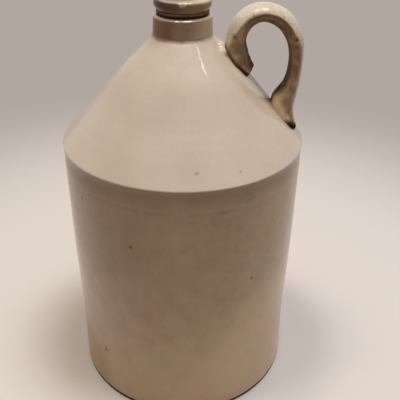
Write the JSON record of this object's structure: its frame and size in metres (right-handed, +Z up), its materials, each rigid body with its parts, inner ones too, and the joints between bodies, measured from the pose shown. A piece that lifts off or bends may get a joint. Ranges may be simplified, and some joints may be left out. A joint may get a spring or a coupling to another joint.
{
  "type": "stoneware jug",
  "caption": "One-gallon stoneware jug with a straight body, cone shoulder, loop handle and a screw stopper on a rubber ring.",
  "frame": {"origin": "middle of the base, on the plane that the jug stands on", "axes": "+Z up along the axis of the body and the neck; +X towards the handle"},
  "size_m": [0.176, 0.176, 0.3014],
  "materials": {
    "body_glaze": "gloss",
    "shoulder_glaze": "gloss",
    "neck_glaze": "gloss",
    "handle_glaze": "gloss",
    "stopper_glaze": "gloss",
    "rubber": "matt"
  },
  "bodies": {
    "jug": {"jug_body": "body_glaze", "shoulder": "shoulder_glaze", "neck_ring": "neck_glaze", "handle": "handle_glaze"},
    "rising_ring": {"seal_ring": "rubber"},
    "screw_stopper": {"stopper": "stopper_glaze"}
  },
  "joints": [
    {"name": "stopper_rise", "type": "slide", "parent": "jug", "child": "rising_ring", "axis": [0, 0, 1], "range_m": [0, 0.0271]},
    {"name": "stopper_turn", "type": "hinge", "parent": "rising_ring", "child": "screw_stopper", "pos_m": [0, 0, 0.2911], "axis": [0, 0, 1], "range_deg": [0, 1620]}
  ],
  "couplings": [
    {"joint": "stopper_rise", "follows": "stopper_turn", "m_per_rad": 0.00095493}
  ]
}
